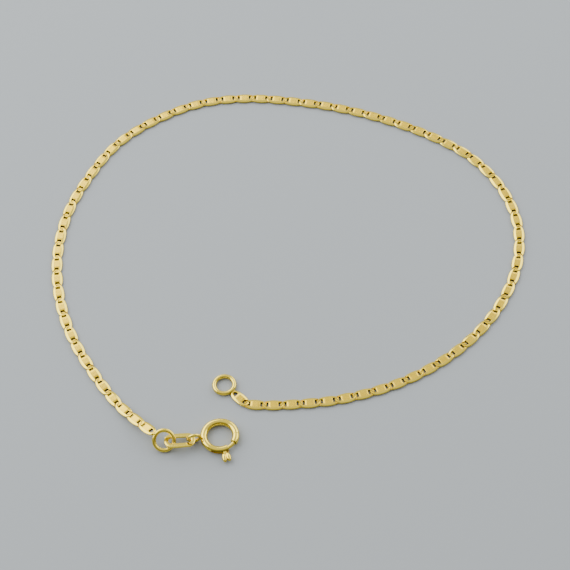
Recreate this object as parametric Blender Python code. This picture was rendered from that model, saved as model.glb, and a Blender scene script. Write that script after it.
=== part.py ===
"""Chain anklet: a flat filled marquise chain lying open, with a spring-ring clasp and an end ring.

Lengths are in metres and +Z is up. The anklet rests on z = 0.
X runs along the clasp's side of the loop, Y away from it.
"""

import math

import bmesh
import bpy
from mathutils import Matrix, Vector

MM = 0.001

# Middle of the finished anklet's box, measured from the point the route is drawn from
FRAME_SHIFT = Vector((0.0 * MM, 0.0 * MM, 0.0))

# Chain route in millimetres, seen from above, from the jump ring round to the end ring
CHAIN_ROUTE_MM = [
    (-25.13, -34.06), (-31.15, -27.0), (-35.8, -19.4), (-39.5, -11.25), (-41.5, -2.5),
    (-41.6, 6.4), (-39.65, 15.15), (-35.6, 23.1), (-30.2, 30.25), (-22.85, 35.2),
    (-14.5, 38.3), (-5.55, 38.7), (3.25, 37.1), (11.85, 34.6), (20.1, 31.1),
    (27.85, 26.65), (34.8, 21.05), (39.65, 13.6), (41.75, 4.9), (40.6, -3.95),
    (36.75, -12.0), (30.95, -18.75), (23.65, -23.95), (15.45, -27.45), (6.65, -29.25),
    (1.5, -29.48), (-2.6, -29.5), (-6.2, -29.25), (-9.4, -28.6), (-11.75, -25.6),
]
ROUTE_STEPS = 40

# Chain link
LINK_PITCH = 3.124 * MM
LINK_LENGTH = 3.90 * MM
LINK_WIDTH = 2.00 * MM
LINK_THICKNESS = 0.50 * MM
LINK_RIM_BEVEL = 0.16 * MM
LINK_TIP_WIDTH = 0.24 * MM
PLATE_LENGTH = 1.56 * MM
HOLE_WIDTH = 0.84 * MM
LAP_RAMP = 0.17 * MM
LAP_GAP = 0.10 * MM
TIP_BITE = 0.04 * MM
FREE_JOINT_SLACK = 0.14 * MM
SOLDERED_LINKS = 2
LINK_OUTLINE = [
    # share of the half length, share of the half width
    (0.83, 0.56),
    (0.37, 0.94),
]

# End ring
END_RING_DIAMETER = 4.20 * MM
END_RING_WIRE = 0.65 * MM
SOLDER_BITE = 0.14 * MM

# Jump ring, leaning with its far side up
JUMP_RING_DIAMETER = 4.10 * MM
JUMP_RING_WIRE = 0.60 * MM
JUMP_RING_LEAN = math.radians(36.0)
JUMP_RING_SOLDER_ANGLE = math.radians(141.0)
RAISED_LENGTH = 12.5 * MM

# Connector link
CONNECTOR_LENGTH = 5.30 * MM
CONNECTOR_WIDTH = 3.10 * MM
CONNECTOR_THICKNESS = 0.32 * MM
CONNECTOR_SIDE_BAR = 0.90 * MM
CONNECTOR_END_BAR = 0.72 * MM
CONNECTOR_HEADING = math.radians(3.2)
CONNECTOR_ROLL = math.radians(12.0)
CONNECTOR_PITCH = math.radians(5.8)
JUMP_RING_CROSSING = math.radians(-8.0)
JUMP_RING_INSET = 1.72 * MM
WINDOW_CORNER = 0.4
CONNECTOR_OUTLINE = [
    # share of the half length, share of the half width
    (1.0, 0.22),
    (0.93, 0.62),
    (0.78, 0.92),
    (0.62, 1.0),
]

# Spring-ring clasp
CLASP_DIAMETER = 6.68 * MM
CLASP_TUBE = 1.22 * MM
CLASP_HEADING = math.radians(6.5)
BORE_DIAMETER = 0.88 * MM
GAP_START = math.radians(-39.0)
GAP_END = math.radians(-69.5)
SOCKET_DEPTH = math.radians(7.0)
EYE_DIAMETER = 2.70 * MM
EYE_WIRE = 0.50 * MM
EYE_LEAN = math.radians(6.0)
EYE_BITE = 0.14 * MM
EYE_OFFSET = 0.16 * MM

# Trigger
BOLT_DIAMETER = 0.64 * MM
BOLT_OVERLAP = math.radians(3.0)
BOLT_TAIL = math.radians(40.0)
TRAVEL = GAP_START + BOLT_OVERLAP - GAP_END
TAIL_ROOM = math.radians(10.0)
THUMB_ANGLE = math.radians(-84.0)
STEM_WIDTH = 0.50 * MM
STEM_THICKNESS = 0.44 * MM
STEM_CLEARANCE = 0.08 * MM
LOBE_WIDTH = 0.85 * MM
LOBE_LENGTH = 1.85 * MM
LOBE_THICKNESS = 0.72 * MM
LOBE_SPLAY = math.radians(4.0)
LOBE_SPACING = 0.46 * MM
THUMB_CLEARANCE = 0.12 * MM

# Facets
RING_SEGMENTS = 20
WIRE_SIDES = 8
CLASP_STEP = math.radians(11.0)
CLASP_SMOOTHNESS = 4
BOLT_SMOOTHNESS = 2
OVERSHOOT = math.radians(9.0)

GOLD = (0.76, 0.56, 0.20)
GOLD_PALE = (0.80, 0.62, 0.26)
POLISHED = 0.16
TEXTURED = 0.30


def clear_scene():
    """Removes whatever the open file holds."""
    for obj in list(bpy.data.objects):
        bpy.data.objects.remove(obj)


def new_collection(name):
    """A collection linked to the scene."""
    collection = bpy.data.collections.new(name)
    bpy.context.scene.collection.children.link(collection)
    return collection


def move_to(obj, collection):
    """Moves an object out of every collection and into one."""
    for owner in list(obj.users_collection):
        owner.objects.unlink(obj)
    collection.objects.link(obj)


def metal(name, colour, roughness):
    """A plain metal material."""
    material = bpy.data.materials.new(name)
    material.use_nodes = True
    shader = material.node_tree.nodes["Principled BSDF"]
    shader.inputs["Base Color"].default_value = (*colour, 1.0)
    shader.inputs["Metallic"].default_value = 1.0
    shader.inputs["Roughness"].default_value = roughness
    material.diffuse_color = (*colour, 1.0)
    return material


def mesh_object(name, mesh, matrix=None):
    """An object that shows a mesh, in the scene's own collection."""
    obj = bpy.data.objects.new(name, mesh)
    bpy.context.scene.collection.objects.link(obj)
    if matrix is not None:
        obj.matrix_world = matrix
    return obj


def curve_to_mesh(curve, name):
    """Turns curve data into a mesh with its loose caps and seams welded."""
    holder = bpy.data.objects.new(name, curve)
    bpy.context.scene.collection.objects.link(holder)
    graph = bpy.context.evaluated_depsgraph_get()
    mesh = bpy.data.meshes.new_from_object(holder.evaluated_get(graph))
    mesh.name = name
    bpy.data.objects.remove(holder)
    bpy.data.curves.remove(curve)
    work = bmesh.new()
    work.from_mesh(mesh)
    bmesh.ops.remove_doubles(work, verts=work.verts, dist=0.001 * MM)
    bmesh.ops.recalc_face_normals(work, faces=work.faces)
    work.to_mesh(mesh)
    work.free()
    return mesh


def flat_shape(name, outlines, thickness):
    """A flat plate from closed outlines. The first is its edge, the others are its holes."""
    curve = bpy.data.curves.new(name, "CURVE")
    curve.dimensions = "2D"
    curve.fill_mode = "BOTH"
    curve.extrude = thickness / 2
    for outline in outlines:
        spline = curve.splines.new("POLY")
        spline.points.add(len(outline) - 1)
        for point, (x, y) in zip(spline.points, outline):
            point.co = (x, y, 0.0, 1.0)
        spline.use_cyclic_u = True
    return curve_to_mesh(curve, name)


def arc_wire(name, radius, wire_radius, start, end, smoothness):
    """A round wire along an arc about the local Z axis, with flat ends."""
    curve = bpy.data.curves.new(name, "CURVE")
    curve.dimensions = "3D"
    curve.bevel_depth = wire_radius
    curve.bevel_resolution = smoothness
    curve.use_fill_caps = True
    count = max(3, math.ceil(abs(end - start) / CLASP_STEP) + 1)
    spline = curve.splines.new("POLY")
    spline.points.add(count - 1)
    for index, point in enumerate(spline.points):
        angle = start + (end - start) * index / (count - 1)
        point.co = (radius * math.cos(angle), radius * math.sin(angle), 0.0, 1.0)
    return curve_to_mesh(curve, name)


def torus(name, diameter, wire, matrix):
    """A closed ring of round wire, outer diameter given, in the local XY plane."""
    bpy.ops.mesh.primitive_torus_add(
        major_segments=RING_SEGMENTS,
        minor_segments=WIRE_SIDES,
        major_radius=(diameter - wire) / 2,
        minor_radius=wire / 2,
    )
    ring = bpy.context.object
    ring.name = name
    ring.matrix_world = matrix
    return ring


def combine(target, tool, operation, tools):
    """Adds an exact Boolean to the target and puts its tool away."""
    modifier = target.modifiers.new(tool.name, "BOOLEAN")
    modifier.operation = operation
    modifier.solver = "EXACT"
    modifier.object = tool
    tool.hide_render = True
    tool.display_type = "WIRE"
    move_to(tool, tools)


def join_meshes(name, meshes_and_matrices):
    """One object that holds copies of meshes at their places."""
    work = bmesh.new()
    for mesh, matrix in meshes_and_matrices:
        placed = mesh.copy()
        placed.transform(matrix)
        work.from_mesh(placed)
        bpy.data.meshes.remove(placed)
    joined = bpy.data.meshes.new(name)
    work.to_mesh(joined)
    work.free()
    return mesh_object(name, joined)


def dress(obj, collection, material):
    """Gives a finished piece its material, shading and collection."""
    obj.data.materials.clear()
    obj.data.materials.append(material)
    obj.data.shade_smooth()
    obj.data.set_sharp_from_angle(angle=math.radians(35.0))
    move_to(obj, collection)


def smooth_route():
    """Points a short step apart on one smooth curve through the chain's route."""
    marks = [Vector((x * MM, y * MM, 0.0)) - FRAME_SHIFT for x, y in CHAIN_ROUTE_MM]
    marks.insert(0, 2 * marks[0] - marks[1])
    marks.append(2 * marks[-1] - marks[-2])
    points = []
    for a, b, c, d in zip(marks, marks[1:], marks[2:], marks[3:]):
        for step in range(ROUTE_STEPS):
            t = step / ROUTE_STEPS
            points.append(
                0.5
                * (
                    2 * b
                    + (c - a) * t
                    + (2 * a - 5 * b + 4 * c - d) * t * t
                    + (3 * b - a - 3 * c + d) * t**3
                )
            )
    points.append(marks[-2])
    return points


def raise_end(points):
    """Lifts the stretch of the route that climbs to the leaning jump ring."""
    rise = solder_height() - LINK_THICKNESS / 2
    travelled = 0.0
    raised = []
    for before, point in zip([points[0]] + points, points):
        travelled += (point - before).length
        share = max(0.0, 1.0 - travelled / RAISED_LENGTH)
        raised.append(point + Vector((0.0, 0.0, LINK_THICKNESS / 2 + rise * share * share)))
    return raised


def jump_ring_radius():
    """Radius of the jump ring's wire centre line."""
    return (JUMP_RING_DIAMETER - JUMP_RING_WIRE) / 2


def jump_ring_height():
    """Height of the jump ring's centre when its near side rests on the surface."""
    return jump_ring_radius() * math.sin(JUMP_RING_LEAN) + JUMP_RING_WIRE / 2


def solder_height():
    """Height at which the first link's tip meets the jump ring."""
    reach = JUMP_RING_DIAMETER / 2 - SOLDER_BITE
    return jump_ring_height() + reach * math.sin(JUMP_RING_SOLDER_ANGLE) * math.sin(JUMP_RING_LEAN)


def walk(points, start, distance):
    """The place on the route that lies a straight distance ahead of a start, or None past its end."""
    index, origin = start
    while index < len(points) and (points[index] - origin).length < distance:
        index += 1
    if index == len(points):
        return None
    low, high = points[index - 1], points[index]
    for _ in range(30):
        middle = (low + high) / 2
        if (middle - origin).length < distance:
            low = middle
        else:
            high = middle
    return index, high


def chain_joints(points):
    """Joint centres along the route, one link pitch apart."""
    place = (1, points[0])
    joints = [points[0]]
    while True:
        place = walk(points, place, LINK_PITCH)
        if place is None:
            return joints
        joints.append(place[1])


def link_frames(joints):
    """A matrix for each link: X from joint to joint, Z up, its centre half way."""
    frames = []
    for start, end in zip(joints, joints[1:]):
        along = (end - start).normalized()
        across = Vector((0.0, 0.0, 1.0)).cross(along).normalized()
        up = along.cross(across)
        turn = Matrix((along, across, up)).transposed().to_4x4()
        frames.append(Matrix.Translation((start + end) / 2) @ turn)
    return frames


def mirror_quarter(points):
    """A closed outline from its first quarter, which runs from the X side to the Y side."""
    right = points
    left = [(-x, y) for x, y in reversed(points)]
    top = right + left
    bottom = [(-x, -y) for x, y in top]
    return top + bottom


def hole_apex():
    """Distance from a link's centre to the far wall of its hole, where two links bear."""
    return LINK_PITCH / 2 - TIP_BITE / 2


def link_hole(side):
    """The tapered hole at one end of a link, seen from above."""
    base = PLATE_LENGTH / 2
    apex = hole_apex()
    shoulder = base + LAP_RAMP
    taper = (HOLE_WIDTH - LINK_TIP_WIDTH) / 2 / (apex - base)
    shoulder_half = HOLE_WIDTH / 2 - LAP_RAMP * taper
    half = [(base, HOLE_WIDTH / 2), (shoulder, shoulder_half), (apex, LINK_TIP_WIDTH / 2)]
    outline = half + [(x, -y) for x, y in reversed(half)]
    return [(side * x, y) for x, y in outline]


def bevel_rim(mesh):
    """Cuts the sloping band round a link's upper edge."""
    work = bmesh.new()
    work.from_mesh(mesh)

    def on_rim(vert):
        outside = abs(vert.co.x) > hole_apex() + 0.01 * MM
        return vert.co.z > 0 and (outside or abs(vert.co.y) > HOLE_WIDTH / 2 + 0.01 * MM)

    rim = []
    for edge in work.edges:
        walled = any(abs(face.normal.z) < 0.5 for face in edge.link_faces)
        if walled and all(on_rim(vert) for vert in edge.verts):
            rim.append(edge)
    bmesh.ops.bevel(work, geom=rim, offset=LINK_RIM_BEVEL, segments=1, affect="EDGES")
    work.to_mesh(mesh)
    work.free()


def press_laps(mesh, side):
    """Thins a link's arms so that each passes over its neighbour on one side and under on the other."""
    half = LINK_THICKNESS / 2
    for vert in mesh.vertices:
        ends = min(1.0, max(0.0, (abs(vert.co.x) - PLATE_LENGTH / 2) / LAP_RAMP))
        lap = side * min(1.0, max(-1.0, vert.co.y / (LINK_TIP_WIDTH / 2)))
        thin = (half - LAP_GAP / 2) / 2
        middle = ends * lap * (half - thin)
        thickness = half + ends * (thin - half)
        vert.co.z = middle + thickness * vert.co.z / half


def make_link_mesh(name, side):
    """One flat marquise link: a filled plate, a tapered hole at each end and lapped tips."""
    quarter = [(LINK_LENGTH / 2, LINK_TIP_WIDTH / 2)]
    quarter += [(x * LINK_LENGTH / 2, y * LINK_WIDTH / 2) for x, y in LINK_OUTLINE]
    mesh = flat_shape(name, [mirror_quarter(quarter), link_hole(1), link_hole(-1)], LINK_THICKNESS)
    bevel_rim(mesh)
    press_laps(mesh, side)
    return mesh


def fuse_links(name, links, tools):
    """Joins a run of interlocked links into one body."""
    even = join_meshes(name, links[0::2])
    if len(links) > 1:
        odd = join_meshes(name + "_other_links", links[1::2])
        combine(even, odd, "UNION", tools)
    return even


def end_ring_frame(last_link):
    """Where the end ring lies: flat on the surface, its wire soldered to the last link's tip."""
    along = last_link.to_3x3() @ Vector((1.0, 0.0, 0.0))
    tip = last_link @ Vector((LINK_LENGTH / 2, 0.0, 0.0))
    centre = tip + along * (END_RING_DIAMETER / 2 - SOLDER_BITE)
    centre.z = END_RING_WIRE / 2
    return Matrix.Translation(centre) @ Matrix.Rotation(math.atan2(along.y, along.x), 4, "Z")


def jump_ring_frame(first_link):
    """Where the jump ring leans: near side on the surface, soldered to the first link's tip."""
    lean = Matrix.Rotation(JUMP_RING_LEAN, 4, "X")
    angle = JUMP_RING_SOLDER_ANGLE
    reach = JUMP_RING_DIAMETER / 2 - SOLDER_BITE
    tip = first_link @ Vector((-LINK_LENGTH / 2, 0.0, 0.0))
    centre = tip - lean @ (Vector((math.cos(angle), math.sin(angle), 0.0)) * reach)
    centre.z = jump_ring_height()
    return Matrix.Translation(centre) @ lean


def connector_frame(jump_ring):
    """Where the connector lies: its window holds the jump ring's right-hand side."""
    angle = JUMP_RING_CROSSING
    crossing = jump_ring @ (Vector((math.cos(angle), math.sin(angle), 0.0)) * jump_ring_radius())
    heading = Matrix.Rotation(CONNECTOR_HEADING, 4, "Z")
    slope = Matrix.Rotation(CONNECTOR_PITCH, 4, "Y")
    turn = heading @ slope @ Matrix.Rotation(-CONNECTOR_ROLL, 4, "X")
    along = turn @ Vector((1.0, 0.0, 0.0))
    return Matrix.Translation(crossing + along * (CONNECTOR_LENGTH / 2 - JUMP_RING_INSET)) @ turn


def eye_frame(connector):
    """Where the clasp's eye stands: on edge round the connector's right-hand end bar."""
    bar = connector @ Vector(((CONNECTOR_LENGTH - CONNECTOR_END_BAR) / 2, 0.0, 0.0))
    swing = (EYE_DIAMETER - EYE_WIRE) / 2
    height = swing * math.cos(EYE_LEAN) + EYE_WIRE / 2
    centre = Vector((bar.x + EYE_OFFSET, bar.y, height))
    heading = Matrix.Rotation(CLASP_HEADING, 4, "Z")
    return Matrix.Translation(centre) @ heading @ Matrix.Rotation(math.pi / 2 + EYE_LEAN, 4, "X")


def clasp_radius():
    """Radius of the clasp tube's centre line."""
    return (CLASP_DIAMETER - CLASP_TUBE) / 2


def clasp_frame(eye):
    """Where the clasp ring lies: flat on the surface, its tube soldered to the eye."""
    drop = (EYE_DIAMETER - CLASP_TUBE) / 2
    slant = (EYE_DIAMETER + CLASP_TUBE) / 2 - EYE_BITE
    reach = clasp_radius() + math.sqrt(slant**2 - drop**2)
    heading = Matrix.Rotation(CLASP_HEADING, 4, "Z")
    centre = eye.translation + heading @ Vector((reach, 0.0, 0.0))
    centre.z = CLASP_TUBE / 2
    return Matrix.Translation(centre) @ heading


def make_connector(frame):
    """The flat connector: an oblong plate with a long window."""
    length, width = CONNECTOR_LENGTH / 2, CONNECTOR_WIDTH / 2
    edge = mirror_quarter([(x * length, y * width) for x, y in CONNECTOR_OUTLINE])
    window_x = length - CONNECTOR_END_BAR
    window_y = width - CONNECTOR_SIDE_BAR
    corner = window_y * WINDOW_CORNER
    window = mirror_quarter([(window_x, window_y - corner), (window_x - corner, window_y)])
    mesh = flat_shape("connector_link", [edge, window], CONNECTOR_THICKNESS)
    return mesh_object("connector_link", mesh, frame)


def sector(name, inner, outer, start, end, thickness):
    """A flat piece of a ring, used to cut the thumb slot."""
    steps = max(2, math.ceil(abs(end - start) / CLASP_STEP))
    angles = [start + (end - start) * index / steps for index in range(steps + 1)]
    outline = [(outer * math.cos(a), outer * math.sin(a)) for a in angles]
    outline += [(inner * math.cos(a), inner * math.sin(a)) for a in reversed(angles)]
    return flat_shape(name, [outline], thickness)


def bolt_ends():
    """Angles of the bolt's nose and tail at rest."""
    return GAP_START + BOLT_OVERLAP, THUMB_ANGLE - BOLT_TAIL


def make_clasp_ring(frame, eye, tools):
    """The clasp's hollow ring with its gap, bolt bore, thumb slot and eye."""
    radius = clasp_radius()
    tube = CLASP_TUBE / 2
    turn = 2 * math.pi
    body = arc_wire("clasp_ring", radius, tube, GAP_START, GAP_END + turn, CLASP_SMOOTHNESS)
    ring = mesh_object("clasp_ring", body, frame)
    bore_end = bolt_ends()[1] - TRAVEL - TAIL_ROOM
    bore = arc_wire(
        "bolt_bore", radius, BORE_DIAMETER / 2, GAP_END + OVERSHOOT, bore_end, BOLT_SMOOTHNESS
    )
    socket = arc_wire(
        "bolt_socket",
        radius,
        BORE_DIAMETER / 2,
        GAP_START - OVERSHOOT,
        GAP_START + SOCKET_DEPTH,
        BOLT_SMOOTHNESS,
    )
    stem_turn = (STEM_WIDTH / 2 + STEM_CLEARANCE) / (radius + tube)
    slot_height = STEM_THICKNESS + 2 * STEM_CLEARANCE
    slot = sector(
        "thumb_slot",
        radius,
        radius + 2 * tube,
        GAP_END + OVERSHOOT,
        THUMB_ANGLE - TRAVEL - stem_turn,
        slot_height,
    )
    for mesh in (bore, socket, slot):
        combine(ring, mesh_object(mesh.name, mesh, frame), "DIFFERENCE", tools)
    combine(ring, torus("clasp_eye", EYE_DIAMETER, EYE_WIRE, eye), "UNION", tools)
    return ring


def make_lobe(name, matrix):
    """One long rounded lobe of the thumb piece."""
    work = bmesh.new()
    size = Matrix.Diagonal((LOBE_LENGTH, LOBE_WIDTH, LOBE_THICKNESS, 1.0))
    bmesh.ops.create_uvsphere(work, u_segments=14, v_segments=8, radius=0.5, matrix=size)
    mesh = bpy.data.meshes.new(name)
    work.to_mesh(mesh)
    work.free()
    return mesh_object(name, mesh, matrix)


def make_trigger(frame, tools):
    """The clasp's bolt and its two-lobed thumb piece, turning about the ring's own axis."""
    radius = clasp_radius()
    nose, tail = bolt_ends()
    bolt = arc_wire("clasp_trigger", radius, BOLT_DIAMETER / 2, nose, tail, BOLT_SMOOTHNESS)
    trigger = mesh_object("clasp_trigger", bolt, frame)
    outward = frame @ Matrix.Rotation(THUMB_ANGLE, 4, "Z")
    inner = radius + CLASP_TUBE / 2 + THUMB_CLEARANCE
    stem_length = inner + LOBE_WIDTH / 2 - radius
    work = bmesh.new()
    size = Matrix.Diagonal((stem_length, STEM_WIDTH, STEM_THICKNESS, 1.0))
    place = Matrix.Translation((radius + stem_length / 2, 0.0, 0.0))
    bmesh.ops.create_cube(work, size=1.0, matrix=place @ size)
    stem = bpy.data.meshes.new("thumb_stem")
    work.to_mesh(stem)
    work.free()
    combine(trigger, mesh_object("thumb_stem", stem, outward), "UNION", tools)
    for side, name in ((1, "thumb_lobe_front"), (-1, "thumb_lobe_back")):
        root = Matrix.Translation((inner, side * LOBE_SPACING / 2, 0.0))
        splay = Matrix.Rotation(side * LOBE_SPLAY, 4, "Z")
        reach = Matrix.Translation((LOBE_LENGTH / 2, 0.0, 0.0))
        combine(trigger, make_lobe(name, outward @ root @ splay @ reach), "UNION", tools)
    return trigger


def main():
    """Builds the anklet."""
    clear_scene()
    pieces = new_collection("chain_anklet")
    tools = new_collection("cutters")
    joints = chain_joints(raise_end(smooth_route()))
    frames = link_frames(joints)
    styles = [make_link_mesh("link_even", 1), make_link_mesh("link_odd", -1)]
    first_free = SOLDERED_LINKS
    last_free = len(frames) - SOLDERED_LINKS
    links = []
    for index, frame in enumerate(frames):
        slack = 0.0
        if index < first_free:
            slack = FREE_JOINT_SLACK
        if index >= last_free:
            slack = -FREE_JOINT_SLACK
        shift = Matrix.Translation((slack, 0.0, 0.0))
        links.append((styles[index % 2], frame @ shift))

    link_gold = metal("rolled yellow gold", GOLD, TEXTURED)
    wire_gold = metal("polished yellow gold wire", GOLD_PALE, POLISHED)

    chain = fuse_links("link_chain", links[first_free:last_free], tools)
    dress(chain, pieces, link_gold)

    end_ring = torus("end_ring", END_RING_DIAMETER, END_RING_WIRE, end_ring_frame(links[-1][1]))
    combine(end_ring, fuse_links("last_links", links[last_free:], tools), "UNION", tools)
    dress(end_ring, pieces, wire_gold)

    jump_place = jump_ring_frame(links[0][1])
    jump_ring = torus("jump_ring", JUMP_RING_DIAMETER, JUMP_RING_WIRE, jump_place)
    combine(jump_ring, fuse_links("first_links", links[:first_free], tools), "UNION", tools)
    dress(jump_ring, pieces, wire_gold)

    connector_place = connector_frame(jump_place)
    dress(make_connector(connector_place), pieces, wire_gold)

    eye_place = eye_frame(connector_place)
    clasp_place = clasp_frame(eye_place)
    dress(make_clasp_ring(clasp_place, eye_place, tools), pieces, wire_gold)
    dress(make_trigger(clasp_place, tools), pieces, wire_gold)


main()
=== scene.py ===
"""Chain anklet in yellow gold, lying open: flat filled marquise links, a closed end ring, a jump ring,
a flat connector and a spring-ring clasp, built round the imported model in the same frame.

Sizes inside the classes are in millimetres. Meshes are turned to metres when they become objects.
"""

import logging
import math
from collections import Counter
from dataclasses import dataclass, field
from enum import Enum

import bmesh
import bpy
import numpy as np
from mathutils import Matrix, Vector, noise
from mathutils.geometry import delaunay_2d_cdt


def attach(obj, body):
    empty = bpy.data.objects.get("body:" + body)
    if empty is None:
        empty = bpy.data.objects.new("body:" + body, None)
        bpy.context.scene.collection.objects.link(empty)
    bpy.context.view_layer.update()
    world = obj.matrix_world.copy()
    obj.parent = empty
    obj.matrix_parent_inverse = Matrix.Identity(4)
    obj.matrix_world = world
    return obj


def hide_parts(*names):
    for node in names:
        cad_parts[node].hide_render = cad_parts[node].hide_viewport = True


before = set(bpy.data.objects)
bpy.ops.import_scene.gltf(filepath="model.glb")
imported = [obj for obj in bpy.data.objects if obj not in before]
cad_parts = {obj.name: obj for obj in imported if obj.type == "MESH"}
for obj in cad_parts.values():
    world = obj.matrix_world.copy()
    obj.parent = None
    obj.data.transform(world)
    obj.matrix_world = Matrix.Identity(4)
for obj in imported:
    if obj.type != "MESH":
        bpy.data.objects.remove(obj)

MM = 0.001
WELD = 0.0008  # Points closer than this, in millimetres, become one
HALVINGS = 30  # Steps of a search by halving
LOG = logging.getLogger("chain_anklet")

Pair = tuple[float, float]


def spread(start: float, end: float, steps: int) -> list[float]:
    """Evenly spaced values from start to end, one more than the steps."""
    return [start + (end - start) * index / steps for index in range(steps + 1)]


def full_turn(count: int) -> list[float]:
    """Evenly spaced angles once round, without the one that closes the turn."""
    return spread(0.0, 2 * math.pi, count)[:-1]


def tube_section(angle: float, reach: float, radius: float, turns: list[float]) -> list[Vector]:
    """Points of a round section of a tube that is bent round the Z axis.

    Args:
        angle: Where round the axis.
        reach: Distance from the axis to the tube's centre line.
        radius: The section's radius.
        turns: Angles round the section, 0 being outwards.

    Returns:
        The points.
    """
    c, s = math.cos(angle), math.sin(angle)
    points = []
    for turn in turns:
        out = reach + radius * math.cos(turn)
        points.append(Vector((c * out, s * out, radius * math.sin(turn))))
    return points


def put(name: str, data: bpy.types.ID) -> bpy.types.Object:
    """Adds an object with its data to the scene."""
    thing = bpy.data.objects.new(name, data)
    bpy.context.scene.collection.objects.link(thing)
    return thing


class Finish(Enum):
    """The finishes of the anklet, in the order of each piece's material slots."""

    POLISHED = 0
    PLATE = 1
    # Walls of the slots and the clasp's bore, coloured dark brown as painted shade
    RECESS_PAINTED_SHADE = 2
    SOLDER = 3


class Slot(Enum):
    """The record's material slots."""

    LINKS = "rolled_gold"
    WIRE = "wire_gold"
    CLASP = "clasp_gold"


@dataclass
class Shell:
    """A mesh being built, in millimetres, with a finish for each face."""

    verts: list[Vector] = field(default_factory=list)
    faces: list[tuple[int, ...]] = field(default_factory=list)
    finishes: list[int] = field(default_factory=list)

    def add(self, verts: list[Vector], faces: list[tuple[int, ...]], finish: Finish) -> None:
        """Adds vertices and the faces that join them.

        Args:
            verts: Points in millimetres.
            faces: Corner numbers, counted from the first of these points.
            finish: What all these faces are finished as.
        """
        start = len(self.verts)
        self.verts.extend(verts)
        self.faces.extend(tuple(start + corner for corner in face) for face in faces)
        self.finishes.extend([finish.value] * len(faces))

    def grid(
        self,
        rows: list[list[Vector]],
        finish: Finish,
        loop_rows: bool = False,
        loop_points: bool = True,
        flip: bool = False,
    ) -> None:
        """Joins rows of points with four-sided faces.

        Args:
            rows: Rows of equally many points.
            finish: What the faces are finished as.
            loop_rows: Whether the last row joins the first.
            loop_points: Whether each row's last point joins its first.
            flip: Whether the faces look the other way.
        """
        count = len(rows[0])
        faces = []
        for r in range(len(rows) if loop_rows else len(rows) - 1):
            s = (r + 1) % len(rows)
            for c in range(count if loop_points else count - 1):
                d = (c + 1) % count
                face = (r * count + c, r * count + d, s * count + d, s * count + c)
                faces.append(face[::-1] if flip else face)
        self.add([point for row in rows for point in row], faces, finish)

    def cap(self, rim: list[Vector], finish: Finish, flip: bool = False) -> None:
        """Closes a loop of points with a fan round its middle.

        Args:
            rim: The loop's points.
            finish: What the faces are finished as.
            flip: Whether the fan faces the other way.
        """
        middle = sum(rim, Vector()) / len(rim)
        count = len(rim)
        faces = []
        for index in range(count):
            face = (count, index, (index + 1) % count)
            faces.append(face[::-1] if flip else face)
        self.add(rim + [middle], faces, finish)

    def join(self, other: "Shell", place: Matrix) -> None:
        """Adds a copy of another shell at its place.

        Args:
            other: The shell to add.
            place: Where it goes, in millimetres.
        """
        start = len(self.verts)
        self.verts.extend(place @ vert for vert in other.verts)
        self.faces.extend(tuple(start + corner for corner in face) for face in other.faces)
        self.finishes.extend(other.finishes)

    def to_object(
        self, name: str, materials: list[bpy.types.Material], crease: float = 32.0
    ) -> bpy.types.Object:
        """Makes the piece, in metres, with smooth faces and sharp creases.

        Args:
            name: The piece's name.
            materials: One material for each finish.
            crease: Angle in degrees over which an edge is sharp.

        Returns:
            The piece, linked to the scene.
        """
        mesh = bpy.data.meshes.new(name)
        mesh.from_pydata([vert * MM for vert in self.verts], [], self.faces)
        mesh.polygons.foreach_set("material_index", self.finishes)
        for material in materials:
            mesh.materials.append(material)
        work = bmesh.new()
        work.from_mesh(mesh)
        bmesh.ops.remove_doubles(work, verts=work.verts, dist=WELD * MM)
        limit = math.radians(crease)
        for edge in work.edges:
            pair = edge.link_faces
            if len(pair) == 2:
                differs = pair[0].material_index != pair[1].material_index
                edge.smooth = not (differs or edge.calc_face_angle(0.0) > limit)
        for face in work.faces:
            face.smooth = True
        work.to_mesh(mesh)
        work.free()
        mesh.validate()
        return put(name, mesh)


def srgb(code: str) -> tuple[float, float, float, float]:
    """Turns an sRGB hex colour to linear.

    Args:
        code: A colour such as "#F3D98F".

    Returns:
        Linear red, green and blue, and full alpha.
    """
    parts = [int(code[index : index + 2], 16) / 255 for index in (1, 3, 5)]
    red, green, blue = (
        part / 12.92 if part <= 0.04045 else ((part + 0.055) / 1.055) ** 2.4 for part in parts
    )
    return red, green, blue, 1.0


def add_node(
    tree: bpy.types.NodeTree,
    kind: str,
    settings: dict[str, object] | None = None,
    inputs: dict[str | int, object] | None = None,
) -> bpy.types.Node:
    """Adds a node with its settings and links.

    Args:
        tree: The node tree.
        kind: The node's type name.
        settings: Properties to set on the node.
        inputs: A value for each input, or the socket that feeds it.

    Returns:
        The new node.
    """
    node = tree.nodes.new(kind)
    for key, value in (settings or {}).items():
        setattr(node, key, value)
    for key, value in (inputs or {}).items():
        if isinstance(value, bpy.types.NodeSocket):
            tree.links.new(value, node.inputs[key])
        else:
            node.inputs[key].default_value = value
    return node


def add_noise(
    tree: bpy.types.NodeTree,
    place: bpy.types.NodeSocket,
    spacing: float,
    inputs: dict[str | int, object],
) -> bpy.types.NodeSocket:
    """Adds a noise texture whose spacing is in millimetres, and gives its output."""
    settings = {"Vector": place, "Scale": 1 / (spacing * MM), **inputs}
    return add_node(tree, "ShaderNodeTexNoise", inputs=settings).outputs["Fac"]


def add_relief(
    tree: bpy.types.NodeTree,
    height: bpy.types.NodeSocket,
    depth: float,
    inputs: dict[str | int, object],
) -> bpy.types.NodeSocket:
    """Adds surface relief whose depth is in millimetres, and gives its normal."""
    settings = {"Height": height, "Strength": 1.0, "Distance": depth * MM, **inputs}
    return add_node(tree, "ShaderNodeBump", inputs=settings).outputs["Normal"]


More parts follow.
